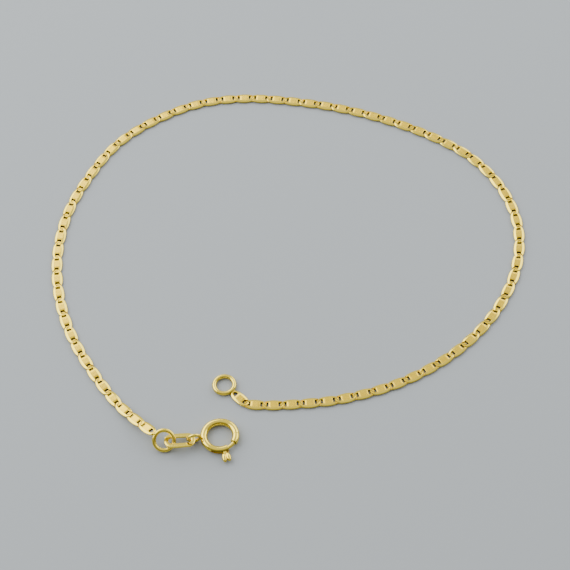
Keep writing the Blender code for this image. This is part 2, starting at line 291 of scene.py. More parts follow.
@dataclass(frozen=True)
class GoldFinish:
    """A way in which 14-karat yellow gold is finished.

    The grain and the scratches are surface relief. Their spacing is in millimetres. Real grit and
    hairlines are about ten times finer, and are drawn this coarse so that they show.
    """

    name: str
    colour: str
    shade: str
    roughness: float
    roughness_spread: float
    grain: float
    grain_depth: float
    scratch: float
    scratch_depth: float
    drift: float = 1.7
    grain_band: Pair = (0.3, 0.7)
    scratch_turn: tuple[float, float, float] = (0.2, 0.1, 0.7)
    scratch_stretch: tuple[float, float, float] = (1.0, 0.12, 1.0)

    def material(self) -> bpy.types.Material:
        """Builds the material: a colour that drifts slowly, under a relief of grain and scratches."""
        material = bpy.data.materials.new(self.name)
        material.use_nodes = True
        tree = material.node_tree
        place = add_node(tree, "ShaderNodeTexCoord").outputs["Object"]

        # Slow drift in the alloy's colour
        drift = add_noise(tree, place, self.drift, {"Detail": 2.0})
        colour = add_node(
            tree,
            "ShaderNodeMix",
            {"data_type": "RGBA"},
            {"Factor": drift, "A": srgb(self.colour), "B": srgb(self.shade)},
        )

        # Grain of the rolled or cast surface, which is rougher in some spots than in others
        grain = add_noise(tree, place, self.grain, {"Detail": 3.0, "Roughness": 0.6})
        rough = add_node(
            tree,
            "ShaderNodeMapRange",
            inputs={
                "Value": grain,
                "From Min": self.grain_band[0],
                "From Max": self.grain_band[1],
                "To Min": self.roughness - self.roughness_spread,
                "To Max": self.roughness + self.roughness_spread,
            },
        )

        # Hairline scratches of wear, drawn longer than they are wide
        stretch = add_node(
            tree,
            "ShaderNodeMapping",
            inputs={"Vector": place, "Rotation": self.scratch_turn, "Scale": self.scratch_stretch},
        )
        along = stretch.outputs["Vector"]
        scratches = add_noise(tree, along, self.scratch, {"Detail": 2.0, "Distortion": 0.4})
        relief = add_relief(tree, scratches, self.scratch_depth, {})
        relief = add_relief(tree, grain, self.grain_depth, {"Normal": relief})

        shader = tree.nodes["Principled BSDF"]
        shader.inputs["Metallic"].default_value = 1.0
        for name, socket in (
            ("Base Color", colour.outputs["Result"]),
            ("Roughness", rough.outputs["Result"]),
            ("Normal", relief),
        ):
            tree.links.new(socket, shader.inputs[name])
        return material


# Polished on a felt wheel: the rims and wires mirror the lights, broken only by hairlines
POLISHED_GOLD = GoldFinish(
    name="14k yellow gold, wheel polished",
    colour="#FBE35C",
    shade="#F7D848",
    roughness=0.16,
    roughness_spread=0.03,
    grain=0.09,
    grain_depth=0.0006,
    scratch=0.05,
    scratch_depth=0.0005,
)

# Rolled flat between rollers with a fine grit: a satin face with a sparkle
PLATE_GOLD = GoldFinish(
    name="14k yellow gold, rolled satin plate",
    colour="#F5D341",
    shade="#EBC430",
    roughness=0.30,
    roughness_spread=0.07,
    grain=0.08,
    grain_depth=0.007,
    scratch=0.06,
    scratch_depth=0.0015,
)

# Inside of the slots and of the clasp's tube, where no wheel reaches: dull, and coloured dark brown as
# painted shade of the deep, narrow recesses
PAINTED_SHADE_RECESS_GOLD = GoldFinish(
    name="14k yellow gold, unpolished recess, painted shade",
    colour="#7C6020",
    shade="#4A3810",
    roughness=0.42,
    roughness_spread=0.08,
    grain=0.06,
    grain_depth=0.004,
    scratch=0.08,
    scratch_depth=0.001,
)

# Gold solder, melted: a little paler and softer than the wire
SOLDER_GOLD = GoldFinish(
    name="14k gold solder, flowed",
    colour="#F8DE5A",
    shade="#F0D147",
    roughness=0.20,
    roughness_spread=0.05,
    grain=0.12,
    grain_depth=0.003,
    scratch=0.06,
    scratch_depth=0.0006,
)


@dataclass(frozen=True)
class ChainRoute:
    """The chain's route seen from above, and the places of its links along it."""

    marks: tuple[Pair, ...] = (
        (-25.13, -34.06), (-31.15, -27.0), (-35.8, -19.4), (-39.5, -11.25), (-41.5, -2.5),
        (-41.6, 6.4), (-39.65, 15.15), (-35.6, 23.1), (-30.2, 30.25), (-22.85, 35.2),
        (-14.5, 38.3), (-5.55, 38.7), (3.25, 37.1), (11.85, 34.6), (20.1, 31.1),
        (27.85, 26.65), (34.8, 21.05), (39.65, 13.6), (41.75, 4.9), (40.6, -3.95),
        (36.75, -12.0), (30.95, -18.75), (23.65, -23.95), (15.45, -27.45), (6.65, -29.25),
        (1.5, -29.48), (-2.6, -29.5), (-6.2, -29.25), (-9.4, -28.6), (-11.75, -25.6),
    )
    steps: int = 40
    pitch: float = 3.124
    half_thickness: float = 0.25
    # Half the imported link's length, by which the rings are placed
    half_link: float = 1.95
    raised_length: float = 12.5

    def curve(self) -> list[Vector]:
        """Points a short step apart on one smooth curve through the marks."""
        marks = [Vector((x, y, 0.0)) for x, y in self.marks]
        marks.insert(0, 2 * marks[0] - marks[1])
        marks.append(2 * marks[-1] - marks[-2])
        points = []
        for a, b, c, d in zip(marks, marks[1:], marks[2:], marks[3:]):
            for step in range(self.steps):
                t = step / self.steps
                points.append(
                    0.5
                    * (
                        2 * b
                        + (c - a) * t
                        + (2 * a - 5 * b + 4 * c - d) * t * t
                        + (3 * b - a - 3 * c + d) * t**3
                    )
                )
        points.append(marks[-2])
        return points

    def raised(self, top: float) -> list[Vector]:
        """Lifts the stretch that climbs to the leaning jump ring.

        Args:
            top: Height of the first link's middle line at the ring.

        Returns:
            The route's points, lying and climbing.
        """
        points = self.curve()
        travelled = 0.0
        lifted = []
        for before, point in zip([points[0]] + points, points):
            travelled += (point - before).length
            share = max(0.0, 1.0 - travelled / self.raised_length)
            rise = (top - self.half_thickness) * share * share
            lifted.append(point + Vector((0.0, 0.0, self.half_thickness + rise)))
        return lifted

    def joints(self, points: list[Vector]) -> list[Vector]:
        """Joint centres along the route, one pitch apart in a straight line.

        Args:
            points: The route's points.

        Returns:
            The joint centres, from the jump ring's end.
        """
        joints = [points[0]]
        index = 1
        while index < len(points):
            origin = joints[-1]
            while index < len(points) and (points[index] - origin).length < self.pitch:
                index += 1
            if index == len(points):
                break
            low, high = points[index - 1], points[index]
            for _ in range(HALVINGS):
                middle = (low + high) / 2
                if (middle - origin).length < self.pitch:
                    low = middle
                else:
                    high = middle
            joints.append(high)
        return joints

    def frames(self, top: float) -> list[Matrix]:
        """A place for each link: X from joint to joint, Z up, its centre half way.

        Args:
            top: Height of the first link's middle line at the ring.

        Returns:
            One matrix for each link.
        """
        joints = self.joints(self.raised(top))
        places = []
        for start, end in zip(joints, joints[1:]):
            along = (end - start).normalized()
            across = Vector((0.0, 0.0, 1.0)).cross(along).normalized()
            turn = Matrix((along, across, along.cross(across))).transposed().to_4x4()
            places.append(Matrix.Translation((start + end) / 2) @ turn)
        return places


@dataclass(frozen=True)
class MarquiseLink:
    """One flat filled link: a satin plate, polished sloping rims, and a slot at each end.

    The arms beside a slot pass over the neighbour's arms on one side and under them on the other.
    """

    half_length: float = 1.955
    oval_length: float = 2.05
    half_width: float = 0.97
    fullness: float = 2.3
    half_thickness: float = 0.25
    rim_width: float = 0.42
    rim_drop: float = 0.18
    rim_taper: float = 0.12
    edge_radius: float = 0.06
    slot_start: float = 0.82
    slot_half: float = 0.40
    slot_shoulder: float = 1.22
    slot_end: float = 1.578
    slot_end_half: float = 0.15
    slot_corner: float = 0.06
    slot_chamfer: float = 0.03
    lap_cut: float = 1.12
    lap_near: float = 0.02
    lap_far: float = 0.06
    rim_curve: float = 0.3
    chamfer_drop: float = 0.8
    plate_margin: float = 0.004
    sliver: float = 1e-7
    # A point's depth is searched between these, the upper one just under half_width
    depth_range: Pair = (-1.5, 0.95)
    outline_points: int = 56
    rim_steps: tuple[float, ...] = (0.0, 0.012, 0.04, 0.10, 0.20, 0.31, 0.42)

    def outline(self, depth: float, taper: float) -> list[Pair]:
        """A loop inside or outside the link's edge.

        Args:
            depth: How far the loop lies inside the edge; outside where negative.
            taper: Share of the depth that the loop keeps at the link's tips.

        Returns:
            The loop's points.
        """
        a = self.oval_length - taper * depth
        b = self.half_width - depth
        tip = self.half_length - taper * depth
        power = 2 / self.fullness
        loop = []
        for index in range(self.outline_points):
            angle = 2 * math.pi * (index + 0.5) / self.outline_points
            c, s = math.cos(angle), math.sin(angle)
            x = math.copysign(min(tip, abs(c) ** power * a), c)
            loop.append((x, math.copysign(abs(s) ** power, s) * b))
        return loop

    def depth(self, x: np.ndarray, y: np.ndarray, taper: float) -> np.ndarray:
        """How far points lie inside the link's edge.

        Args:
            x: Distances along the link.
            y: Distances across the link.
            taper: Share of the depth that a loop keeps at the tips.

        Returns:
            The depth of each point, negative outside.
        """
        low, high = (np.full(x.shape, limit) for limit in self.depth_range)
        for _ in range(HALVINGS):
            middle = (low + high) / 2
            a = self.oval_length - taper * middle
            b = self.half_width - middle
            value = (np.abs(x) / a) ** self.fullness + (np.abs(y) / b) ** self.fullness
            inside = value < 1
            low = np.where(inside, middle, low)
            high = np.where(inside, high, middle)
        return np.minimum(low, (self.half_length - np.abs(x)) / taper)

    @property
    def slot_taper(self) -> Pair:
        """Slope of a slot's narrowing walls, and their length for each unit along the link."""
        slope = (self.slot_half - self.slot_end_half) / (self.slot_end - self.slot_shoulder)
        return slope, math.hypot(1.0, slope)

    def slot_corners(self, grow: float) -> list[Pair]:
        """The right-hand slot's corners, its walls moved outwards.

        Args:
            grow: How far the walls move into the metal; inwards where negative.

        Returns:
            The corners, anticlockwise.
        """
        slope, lean = self.slot_taper
        start = self.slot_start - grow
        end = self.slot_end + grow
        half = self.slot_half + grow
        end_half = self.slot_end_half - slope * grow + lean * grow
        shoulder = self.slot_shoulder + (lean - 1) / slope * grow
        return [
            (start, -half), (shoulder, -half), (end, -end_half),
            (end, end_half), (shoulder, half), (start, half),
        ]

    def slot(self, grow: float, side: int) -> list[Pair]:
        """A slot's outline with rounded corners.

        Args:
            grow: How far the walls move into the metal.
            side: 1 for the slot ahead, -1 for the slot behind.

        Returns:
            The outline's points.
        """
        corners = [Vector(corner) for corner in self.slot_corners(grow)]
        points = []
        for index, corner in enumerate(corners):
            before = corners[index - 1]
            after = corners[(index + 1) % len(corners)]
            back = (before - corner).normalized() * self.slot_corner
            ahead = (after - corner).normalized() * self.slot_corner
            for share in (0.0, 0.5, 1.0):
                point = (
                    (corner + back) * (1 - share) ** 2
                    + corner * 2 * share * (1 - share)
                    + (corner + ahead) * share**2
                )
                points.append((side * point.x, point.y))
        return points

    def slot_depth(self, x: np.ndarray, y: np.ndarray) -> np.ndarray:
        """How far points lie inside the nearer slot, negative in the metal.

        Args:
            x: Distances along the link.
            y: Distances across the link.

        Returns:
            The depth of each point.
        """
        slope, lean = self.slot_taper
        reach = np.abs(x)
        half = np.abs(y)
        taper = (self.slot_end_half + slope * (self.slot_end - reach) - half) / lean
        walls = [reach - self.slot_start, self.slot_end - reach, self.slot_half - half, taper]
        return np.minimum.reduce(walls)

    def half_section(self, depth: np.ndarray) -> np.ndarray:
        """Half the metal's thickness at a depth inside the edge.

        Args:
            depth: How far inside the edge.

        Returns:
            The half thickness: full on the plate, sloping on the rim, rounded at the edge.
        """
        share = np.clip(1 - depth / self.rim_width, 0, 1)
        fall = (1 - self.rim_curve) * share + self.rim_curve * share**2
        slope = self.half_thickness - self.rim_drop * fall
        turn = np.clip(1 - depth / self.edge_radius, 0, 1)
        return slope * np.sqrt(np.clip(1 - turn**2, 0, 1))

    def lap(self, x: np.ndarray, y: np.ndarray) -> np.ndarray:
        """How fully points lie under or over the metal of a link in its own frame.

        Args:
            x: Distances along that link.
            y: Distances across it.

        Returns:
            1 on its metal, 0 clear of it, with a short ramp between.
        """
        clear = np.maximum(-self.depth(x, y, 1.0), self.slot_depth(x, y))
        share = np.clip((clear - self.lap_near) / (self.lap_far - self.lap_near), 0, 1)
        return 1 - share * share * (3 - 2 * share)

    def traces(self, neighbours: list[Matrix]) -> list[list[Pair]]:
        """Every line that the link's net has to follow.

        Args:
            neighbours: Where the neighbours lie, in this link's frame.

        Returns:
            The rim's loops, the slots, and the neighbours' edges where they press into this link.
        """
        loops = [self.outline(depth, self.rim_taper) for depth in self.rim_steps]
        for side in (1, -1):
            loops += [self.slot(grow, side) for grow in (0.0, self.slot_chamfer)]
        margins = (self.lap_near, self.lap_far)
        for place in neighbours:
            side = -1 if place.translation.x > 0 else 1
            edges = [self.outline(-grow, 1.0) for grow in margins]
            edges += [self.slot(-grow, side) for grow in margins]
            for edge in edges:
                moved = [place @ Vector((x, y, 0.0)) for x, y in edge]
                loops.append([(point.x, point.y) for point in moved])
        return loops

    def net(self, loops: list[list[Pair]]) -> tuple[np.ndarray, np.ndarray]:
        """A flat net of triangles over the link's metal.

        Args:
            loops: Closed lines that the net follows.

        Returns:
            The net's points, and the corner numbers of its triangles, anticlockwise.
        """
        points, edges = [], []
        for loop in loops:
            start, count = len(points), len(loop)
            points.extend(Vector(point) for point in loop)
            edges.extend((start + index, start + (index + 1) % count) for index in range(count))
        verts, _, faces, _, _, _ = delaunay_2d_cdt(points, edges, [], 0, WELD / 2)
        flat = np.array([(vert.x, vert.y) for vert in verts])
        corners = np.array(faces)
        x, y = flat[corners].mean(axis=1).T
        metal = (self.depth(x, y, self.rim_taper) > 0) & (self.slot_depth(x, y) < 0)
        ahead = flat[corners[:, 1]] - flat[corners[:, 0]]
        aside = flat[corners[:, 2]] - flat[corners[:, 0]]
        area = ahead[:, 0] * aside[:, 1] - aside[:, 0] * ahead[:, 1]
        corners = np.where((area > 0)[:, None], corners, corners[:, ::-1])
        return flat, corners[metal & (abs(area) > self.sliver)]

    def pressed(self, flat: np.ndarray, neighbours: list[Matrix]) -> np.ndarray:
        """How deeply each point of the net is pressed by the neighbours.

        Args:
            flat: The net's points.
            neighbours: Where the neighbours lie.

        Returns:
            The share of the half thickness that each point loses.
        """
        lap = np.zeros(len(flat))
        for place in neighbours:
            back = place.inverted()
            local = np.array([(back @ Vector((x, y, 0.0)))[:2] for x, y in flat])
            lap = np.maximum(lap, self.lap(local[:, 0], local[:, 1]))
        return self.lap_cut * lap

    def build(self, over_side: int, neighbours: list[Matrix]) -> Shell:
        """Builds the link in its own frame, pressed round the links that it meets.

        Args:
            over_side: 1 if the arms at positive Y pass over the neighbours, -1 if they pass under.
            neighbours: Where the neighbours lie, in this link's frame.

        Returns:
            The closed link.
        """
        flat, corners = self.net(self.traces(neighbours))
        x, y = flat.T
        depth = self.depth(x, y, self.rim_taper)
        clear = -self.slot_depth(x, y)
        chamfer = 1 - np.clip(clear / self.slot_chamfer, 0, 1)
        section = self.half_section(depth) - self.slot_chamfer * self.chamfer_drop * chamfer
        section = np.maximum(section, 0.0)
        pressed = self.pressed(flat, neighbours)
        over = over_side * y > 0
        top = section * (1 - pressed * ~over)
        bottom = -section * (1 - pressed * over)
        on_plate = depth[corners].mean(axis=1) > self.rim_width - self.plate_margin
        return self.close(flat, corners, (top, bottom), on_plate, clear > self.slot_chamfer)

    def close(
        self,
        flat: np.ndarray,
        corners: np.ndarray,
        heights: tuple[np.ndarray, np.ndarray],
        on_plate: np.ndarray,
        off_slot: np.ndarray,
    ) -> Shell:
        """Gives the net its upper and lower faces, a shared outer edge and walls in the slots.

        Args:
            flat: The net's points.
            corners: The corner numbers of its triangles.
            heights: The upper and the lower height of each point.
            on_plate: Which triangles are on the satin plate.
            off_slot: Which points are away from the slots.

        Returns:
            The closed link.
        """
        sides = [
            (int(a), int(b)) for triangle in corners for a, b in zip(triangle, np.roll(triangle, -1))
        ]
        uses = Counter((min(side), max(side)) for side in sides)
        rim = {
            vert for edge, count in uses.items() if count == 1 and off_slot[edge[0]] for vert in edge
        }
        upper, lower = ([Vector((*point, z)) for point, z in zip(flat, each)] for each in heights)
        for vert in rim:
            upper[vert] = lower[vert] = (upper[vert] + lower[vert]) / 2
        count = len(upper)
        shell = Shell(verts=upper + lower)
        for triangle, plate in zip(corners, on_plate):
            a, b, c = (int(corner) for corner in triangle)
            finish = Finish.PLATE if plate else Finish.POLISHED
            shell.faces += [(a, b, c), (count + c, count + b, count + a)]
            shell.finishes += [finish.value] * 2
        # Walls inside the slots take the recess finish, whose dark brown colour is painted shade
        for a, b in sides:
            if uses[(min(a, b), max(a, b))] == 1 and a not in rim:
                shell.faces.append((a, count + a, count + b, b))
                shell.finishes.append(Finish.RECESS_PAINTED_SHADE.value)
        return shell


@dataclass(frozen=True)
class WireRing:
    """A closed ring of round drawn wire with its soldered seam."""

    diameter: float
    wire: float
    seam: float
    segments: int = 96
    sides: int = 28
    seam_width: float = 0.06
    seam_depth: float = 0.035
    waver: float = 0.008
    waver_pace: float = 1.7

    @property
    def radius(self) -> float:
        """Radius of the wire's centre line."""
        return (self.diameter - self.wire) / 2

    def thickness(self, angle: float) -> float:
        """The wire's radius, which wavers a little and dips at the seam.

        Args:
            angle: Angle round the ring.

        Returns:
            The radius.
        """
        off_seam = (angle - self.seam + math.pi) % (2 * math.pi) - math.pi
        away = off_seam * self.radius / self.seam_width
        outward = Vector((math.cos(angle), math.sin(angle), 0.0))
        drift = noise.noise(outward * self.waver_pace + Vector((self.diameter, 0.0, 0.0)))
        return self.wire / 2 * (1 + self.waver * drift) * (1 - self.seam_depth * math.exp(-(away**2)))

    def build(self) -> Shell:
        """Builds the ring in its own XY plane."""
        turns = full_turn(self.sides)
        rows = [
            tube_section(angle, self.radius, self.thickness(angle), turns)
            for angle in full_turn(self.segments)
        ]
        shell = Shell()
        shell.grid(rows, Finish.POLISHED, loop_rows=True, flip=True)
        return shell


@dataclass(frozen=True)
class Pillow:
    """A closed rounded block: a lobe, a stem or a bead of solder.

    A fullness of 2 gives an ellipsoid, and more a squarer block. The swell makes it uneven.
    """

    length: float
    width: float
    height: float
    fullness: float = 2.0
    bands: int = 22
    steps: int = 32
    finish: Finish = Finish.POLISHED
    swell: float = 0.0
    swell_pace: float = 2.3

    def build(self) -> Shell:
        """Builds the block round its own middle, with its length along X."""
        power = 2 / self.fullness
        halves = (self.length / 2, self.width / 2, self.height / 2)
        seed = Vector((self.length, 0.0, 0.0))
        rows = []
        for polar in spread(0.0, math.pi, self.bands)[1:-1]:
            row = []
            for turn in full_turn(self.steps):
                reach = math.sin(polar)
                way = (math.cos(polar), reach * math.cos(turn), reach * math.sin(turn))
                swell = 1 + self.swell * noise.noise(Vector(way) * self.swell_pace + seed)
                row.append(
                    Vector([math.copysign(abs(w) ** power, w) * h * swell for w, h in zip(way, halves)])
                )
            rows.append(row)
        shell = Shell()
        shell.grid(rows, self.finish)
        shell.cap(rows[0], self.finish, flip=True)
        shell.cap(rows[-1], self.finish)
        return shell


@dataclass(frozen=True)
class Connector:
    """The flat stamped connector: an oblong plate with a long window and softened edges."""

    length: float = 5.30
    width: float = 3.10
    thickness: float = 0.32
    side_bar: float = 0.90
    end_bar: float = 0.72
    edge_radius: float = 0.09
    crown: float = 0.015
    points: int = 96
    edge_fullness: float = 2.25
    window_fullness: float = 2.6
    end_blend: float = 3.0
    edge_turns: tuple[float, ...] = (-90, -65, -40, -15, 15, 40, 65, 90)

    def oblong(self, half_length: float, half_width: float, fullness: float) -> list[Vector]:
        """A rounded oblong outline.

        Args:
            half_length: Half its length.
            half_width: Half its width.
            fullness: How square its ends are: 2 is round.

        Returns:
            The outline's points, anticlockwise.
        """
        straight = half_length - half_width
        loop = []
        for index in range(self.points):
            angle = 2 * math.pi * (index + 0.5) / self.points
            c, s = math.cos(angle), math.sin(angle)
            x = math.copysign(abs(c) ** (2 / fullness), c) * half_width
            y = math.copysign(abs(s) ** (2 / fullness), s) * half_width
            share = math.copysign(min(1.0, abs(c) * self.end_blend), c)
            loop.append(Vector((x + share * straight, y, 0.0)))
        return loop

    def rib(self, out: Vector, into: Vector) -> list[Vector]:
        """A section across the metal: over the top to the window and back underneath.

        Args:
            out: A point of the outer edge.
            into: The point of the window's edge that faces it.

        Returns:
            The section's points.
        """
        half = self.thickness / 2
        width = (into - out).length
        across = (into - out).normalized()
        turns = [math.radians(angle) for angle in self.edge_turns]
        row = []
        for sign in (1, -1):
            for turn in turns[::sign]:
                curl = self.edge_radius * (1 - math.cos(turn))
                lift = math.copysign(half - self.edge_radius, turn) + self.edge_radius * math.sin(turn)
                reach = curl if sign > 0 else width - curl
                row.append(out + across * reach + Vector((0.0, 0.0, lift)))
            row.append(out + across * width / 2 + Vector((0.0, 0.0, sign * (half + self.crown))))
        return row

    def build(self) -> Shell:
        """Builds the connector in its own XY plane."""
        half_length, half_width = self.length / 2, self.width / 2
        outer = self.oblong(half_length, half_width, self.edge_fullness)
        inner = self.oblong(
            half_length - self.end_bar, half_width - self.side_bar, self.window_fullness
        )
        shell = Shell()
        rows = [self.rib(out, into) for out, into in zip(outer, inner)]
        shell.grid(rows, Finish.POLISHED, loop_rows=True)
        return shell


@dataclass(frozen=True)
class Fittings:
    """Sizes and places of the rings, the connector and the clasp, each hung on the one before."""

    end_ring: WireRing = WireRing(diameter=4.20, wire=0.74, seam=math.radians(-115))
    jump_ring: WireRing = WireRing(diameter=4.10, wire=0.70, seam=math.radians(-60))
    connector: Connector = Connector()
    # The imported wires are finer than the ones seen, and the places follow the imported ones
    jump_wire: float = 0.60
    eye_wire: float = 0.50
    solder_bite: float = 0.14
    lean: float = math.radians(36.0)
    solder_angle: float = math.radians(141.0)
    crossing: float = math.radians(-8.0)
    inset: float = 1.72
    heading: float = math.radians(3.2)
    roll: float = math.radians(12.0)
    slope: float = math.radians(5.8)
    eye: WireRing = WireRing(
        diameter=2.70, wire=0.56, seam=math.radians(170), segments=72, sides=24
    )
    eye_lean: float = math.radians(6.0)
    eye_offset: float = 0.16
    eye_bite: float = 0.14
    clasp_heading: float = math.radians(6.5)

    def jump_ring_height(self) -> float:
        """Height of the jump ring's centre when its near side rests on the surface."""
        radius = (self.jump_ring.diameter - self.jump_wire) / 2
        return radius * math.sin(self.lean) + self.jump_wire / 2

    def solder_height(self) -> float:
        """Height at which the first link's tip meets the jump ring."""
        reach = self.jump_ring.diameter / 2 - self.solder_bite
        return self.jump_ring_height() + reach * math.sin(self.solder_angle) * math.sin(self.lean)

    def jump_ring_place(self, first_tip: Vector) -> Matrix:
        """Where the jump ring leans.

        Args:
            first_tip: The tip of the first link.

        Returns:
            The ring's place.
        """
        lean = Matrix.Rotation(self.lean, 4, "X")
        reach = self.jump_ring.diameter / 2 - self.solder_bite
        arm = Vector((math.cos(self.solder_angle), math.sin(self.solder_angle), 0.0)) * reach
        centre = first_tip - lean @ arm
        centre.z = self.jump_ring_height()
        return Matrix.Translation(centre) @ lean

    def end_ring_place(self, last_tip: Vector, along: Vector) -> Matrix:
        """Where the end ring lies.

        Args:
            last_tip: The tip of the last link.
            along: The direction in which that link points.

        Returns:
            The ring's place.
        """
        centre = last_tip + along * (self.end_ring.diameter / 2 - self.solder_bite)
        centre.z = self.end_ring.wire / 2
        return Matrix.Translation(centre) @ Matrix.Rotation(math.atan2(along.y, along.x), 4, "Z")

    def connector_place(self, jump_ring: Matrix) -> Matrix:
        """Where the connector lies: its window holds the jump ring's right-hand side.

        Args:
            jump_ring: The jump ring's place.

        Returns:
            The connector's place.
        """
        arm = Vector((math.cos(self.crossing), math.sin(self.crossing), 0.0))
        crossing = jump_ring @ (arm * (self.jump_ring.diameter - self.jump_wire) / 2)
        turn = (
            Matrix.Rotation(self.heading, 4, "Z")
            @ Matrix.Rotation(self.slope, 4, "Y")
            @ Matrix.Rotation(-self.roll, 4, "X")
        )
        along = turn @ Vector((1.0, 0.0, 0.0))
        reach = self.connector.length / 2 - self.inset
        return Matrix.Translation(crossing + along * reach) @ turn

    def eye_place(self, connector: Matrix) -> Matrix:
        """Where the clasp's eye stands, round the connector's end bar.

        Args:
            connector: The connector's place.

        Returns:
            The eye's place.
        """
        bar = connector @ Vector(
            ((self.connector.length - self.connector.end_bar) / 2, 0.0, 0.0)
        )
        radius = (self.eye.diameter - self.eye_wire) / 2
        height = radius * math.cos(self.eye_lean) + self.eye_wire / 2
        centre = Vector((bar.x + self.eye_offset, bar.y, height))
        return (
            Matrix.Translation(centre)
            @ Matrix.Rotation(self.clasp_heading, 4, "Z")
            @ Matrix.Rotation(math.pi / 2 + self.eye_lean, 4, "X")
        )

    def clasp_place(self, eye: Matrix, radius: float, tube: float) -> Matrix:
        """Where the clasp's ring lies.

        Args:
            eye: The eye's place.
            radius: Radius of the clasp tube's centre line.
            tube: The tube's diameter.

        Returns:
            The clasp ring's place.
        """
        drop = (self.eye.diameter - tube) / 2
        slant = (self.eye.diameter + tube) / 2 - self.eye_bite
        reach = radius + math.sqrt(slant**2 - drop**2)
        turn = Matrix.Rotation(self.clasp_heading, 4, "Z")
        centre = eye.translation + turn @ Vector((reach, 0.0, 0.0))
        centre.z = tube / 2
        return Matrix.Translation(centre) @ turn


@dataclass(frozen=True)
class SpringRing:
    """The spring-ring clasp: a hollow ring with a gap, and the bolt that closes it."""

    diameter: float = 6.68
    tube: float = 1.22
    bore: float = 0.88
    gap_start: float = math.radians(-39.0)
    gap_end: float = math.radians(-69.5)
    socket: float = math.radians(7.0)
    slot_end: float = math.radians(-125.0)
    slot_height: float = 0.60
    bore_end: float = math.radians(-167.5)
    bolt: float = 0.64
    nose: float = math.radians(-36.0)
    tail: float = math.radians(-124.0)
    thumb_angle: float = math.radians(-84.0)
    stem_width: float = 0.50
    stem_height: float = 0.44
    lobe_width: float = 0.79
    lobe_length: float = 1.74
    lobe_height: float = 0.72
    lobe_spacing: float = 0.58
    lobe_splay: float = math.radians(4.0)
    thumb_clearance: float = 0.12
    lip: float = 0.05
    crimp: float = math.radians(-6.0)
    crimp_depth: float = 0.035
    crimp_width: float = 0.045
    stem_fullness: float = 5.0
    lobe_fullness: float = 2.15
    nose_share: float = 0.7
    nose_tip: float = 0.002
    body_sides: int = 28
    slot_sides: int = 6
    closed_steps: int = 84
    crimp_steps: int = 8
    slotted_steps: int = 22
    bore_steps: int = 20
    blind_steps: int = 8
    socket_steps: int = 4
    lip_steps: int = 4
    bolt_sides: int = 24
    nose_steps: int = 6
    shaft_steps: int = 32

    @property
    def radius(self) -> float:
        """Radius of the tube's centre line."""
        return (self.diameter - self.tube) / 2

    @property
    def ends(self) -> tuple[float, float, float]:
        """Where the gap, the thumb slot and the bore end, counted on from the gap's start."""
        turn = 2 * math.pi
        return self.gap_end + turn, self.slot_end + turn, self.bore_end + turn

    @property
    def lip_turn(self) -> float:
        """The angle round the clasp that a lip takes."""
        return self.lip / self.radius

    def section(self, angle: float, radius: float, turns: list[float]) -> list[Vector]:
        """Points of a round section of the clasp's tube, bore or bolt."""
        return tube_section(angle, self.radius, radius, turns)

    def skin(self, angle: float) -> float:
        """Outer radius of the tube, with the fine line where its sleeve was crimped."""
        away = (angle - self.crimp) * self.radius / self.crimp_width
        return self.tube / 2 - self.crimp_depth * math.exp(-(away**2))

    def turns(self, radius: float) -> tuple[list[float], list[float], list[float]]:
        """Angles round a section.

        Args:
            radius: The section's radius.

        Returns:
            The angles beside the thumb slot, those across it, and those all round.
        """
        slot = math.asin(self.slot_height / 2 / radius)
        body = spread(slot, 2 * math.pi - slot, self.body_sides)
        across = spread(-slot, slot, self.slot_sides)
        return body, across, across[:-1] + body[:-1]

    def slotted(self) -> list[float]:
        """Angles round the clasp along the thumb slot."""
        gap_end, slot_end, _ = self.ends
        return spread(slot_end, gap_end - self.lip_turn, self.slotted_steps)

    def add_skin(self, shell: Shell) -> None:
        """Adds the outside: closed as far as the thumb slot, then open along it.

        Args:
            shell: The ring so far.
        """
        body, across, _ = self.turns(self.tube / 2)
        closed = spread(self.gap_start + self.lip_turn, self.ends[1], self.closed_steps)
        reach = 2 * self.crimp_width / self.radius
        closed += spread(self.crimp - reach, self.crimp + reach, self.crimp_steps)
        closed.sort()
        for angles, turns in ((closed + self.slotted()[1:], body), (closed, across)):
            rows = [self.section(angle, self.skin(angle), turns) for angle in angles]
            shell.grid(rows, Finish.POLISHED, loop_points=False)

    def add_lips(self, shell: Shell) -> None:
        """Adds the rounded lips on both sides of the gap.

        Args:
            shell: The ring so far.
        """
        outer, inner = self.tube / 2, self.bore / 2
        for near, sign, is_slotted in ((self.gap_start, 1, False), (self.ends[0], -1, True)):
            skin_turns, bore_turns = (
                self.turns(radius)[0 if is_slotted else 2] for radius in (outer, inner)
            )
            rows = []
            for turn in spread(0.0, math.pi / 2, self.lip_steps):
                angle = near + sign * self.lip_turn * (1 - math.sin(turn))
                radius = outer - self.lip * (1 - math.cos(turn))
                rows.append(self.section(angle, radius, skin_turns))
            rows.append(self.section(near, inner + self.lip / 2, bore_turns))
            rows.append(self.section(near + sign * self.lip_turn / 2, inner, bore_turns))
            shell.grid(rows, Finish.POLISHED, loop_points=not is_slotted)

    def add_bore(self, shell: Shell) -> None:
        """Adds the socket for the bolt's nose and the bore for the bolt, dull inside and coloured dark
        brown as painted shade.

        Args:
            shell: The ring so far.
        """
        inner = self.bore / 2
        body, _, whole = self.turns(inner)
        gap_end, slot_end, bore_end = self.ends
        mouth, socket_end = self.gap_start + self.lip_turn / 2, self.gap_start + self.socket
        for angles, is_slotted in (
            (spread(mouth, socket_end, self.socket_steps), False),
            (spread(gap_end - self.lip_turn / 2, slot_end, self.bore_steps), True),
            (spread(slot_end, bore_end, self.blind_steps), False),
        ):
            rows = [self.section(a, inner, body if is_slotted else whole) for a in angles]
            shell.grid(rows, Finish.RECESS_PAINTED_SHADE, loop_points=not is_slotted)
            if not is_slotted:
                shell.cap(rows[-1], Finish.RECESS_PAINTED_SHADE)

